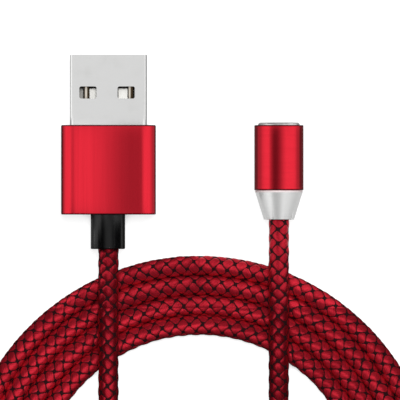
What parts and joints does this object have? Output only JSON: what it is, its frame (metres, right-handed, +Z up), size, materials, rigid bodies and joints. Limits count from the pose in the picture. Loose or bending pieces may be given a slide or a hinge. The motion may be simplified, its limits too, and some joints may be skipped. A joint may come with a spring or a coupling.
{
  "type": "charging cable",
  "caption": "Braided red charging cable in a flat coil, with a type A plug in a red aluminium housing and a round magnetic tip with a sprung centre contact.",
  "frame": {"origin": "on the surface that the cable lies on, below the middle of the plug and the magnetic tip, measured without the cord", "axes": "+Z up from the surface, +Y out of the plug's mouth and the magnet's face, +X from the plug to the tip"},
  "size_m": [0.0745, 0.1047, 0.0078],
  "materials": {
    "steel": "satin",
    "white_insulator": "satin",
    "gold_contact": "gloss",
    "black_plastic": "satin",
    "inner_plastic": "matte",
    "red_aluminium": "satin",
    "silver_aluminium": "satin",
    "black_rubber": "satin",
    "red_braid": "satin",
    "plated_magnet": "gloss",
    "spring_steel": "gloss",
    "bronze": "satin",
    "board_green": "satin",
    "red_wire": "satin",
    "black_wire": "satin"
  },
  "bodies": {
    "cable": {"plug_shell": "steel", "plug_insulator": "white_insulator", "supply_contact": "gold_contact", "earth_contact": "gold_contact", "data_minus_contact": "gold_contact", "data_plus_contact": "gold_contact", "plug_front_frame": "black_plastic", "plug_inner_mould": "inner_plastic", "plug_housing": "red_aluminium", "plug_strain_relief": "black_rubber", "plug_crimp_ring": "steel", "plug_cord_end": "red_braid", "plug_supply_wire": "red_wire", "plug_earth_wire": "black_wire", "plug_tail": "red_braid", "cord_coil": "red_braid", "tip_tail": "red_braid", "tip_barrel": "red_aluminium", "tip_cone": "silver_aluminium", "tip_magnet": "plated_magnet", "tip_insulator": "black_plastic", "tip_earth_washer": "bronze", "tip_board": "board_green", "tip_spacer": "inner_plastic", "tip_crimp_ring": "steel", "tip_cord_end": "red_braid", "tip_supply_wire": "red_wire", "tip_earth_wire": "black_wire", "pogo_barrel": "gold_contact", "pogo_spring": "spring_steel"},
    "plunger": {"pogo_plunger": "gold_contact"}
  },
  "joints": [
    {"name": "plunger_press", "type": "slide", "parent": "cable", "child": "plunger", "axis": [0, -1, 0], "range_m": [0, 0.0008], "stiffness_N_per_m": 200, "springref_m": -0.0005, "deforming": ["pogo_spring"]}
  ]
}
